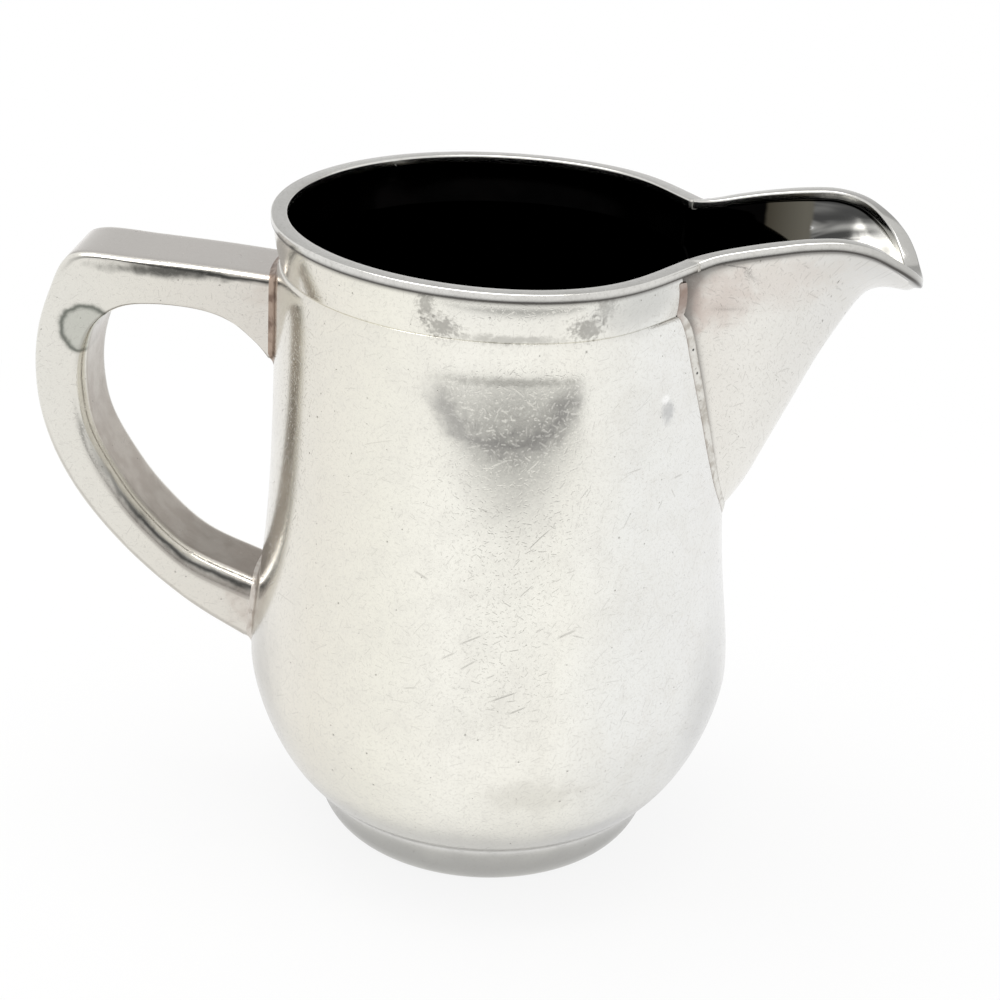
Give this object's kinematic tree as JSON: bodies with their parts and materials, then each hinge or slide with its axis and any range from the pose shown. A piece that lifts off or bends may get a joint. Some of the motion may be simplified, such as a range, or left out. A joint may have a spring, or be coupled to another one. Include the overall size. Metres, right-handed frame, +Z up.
{
  "type": "creamer jug",
  "caption": "Small open pouring jug of silver-plated sheet with a rounded belly, a narrow foot, a broad soldered spout and a flat hollow loop handle.",
  "frame": {"origin": "on the body's axis, in the plane of the foot ring's resting face", "axes": "+Z up along the body's axis, +X towards the spout's lip, -X towards the handle, +Y across"},
  "size_m": [0.1243, 0.0716, 0.0984],
  "materials": {
    "silver_plate": "worn satin silver plate on a copper alloy sheet",
    "silver_wire": "flat silver-plated wire, polished by handling",
    "silver_handle": "satin silver plate with darker wear in the hollows",
    "solder": "solder where the plating has worn to a warm brown"
  },
  "bodies": {
    "root": {"body_shell": "silver_plate", "base_disc": "silver_plate", "base_solder": "solder", "mouth_rim_wire": "silver_wire", "spout_sheet": "silver_plate", "spout_edge_wire": "silver_wire", "spout_seam_solder": "solder", "rim_joint_solder": "solder", "handle_left_half": "silver_handle", "handle_right_half": "silver_handle", "handle_top_solder": "solder", "handle_bottom_solder": "solder"}
  },
  "joints": []
}
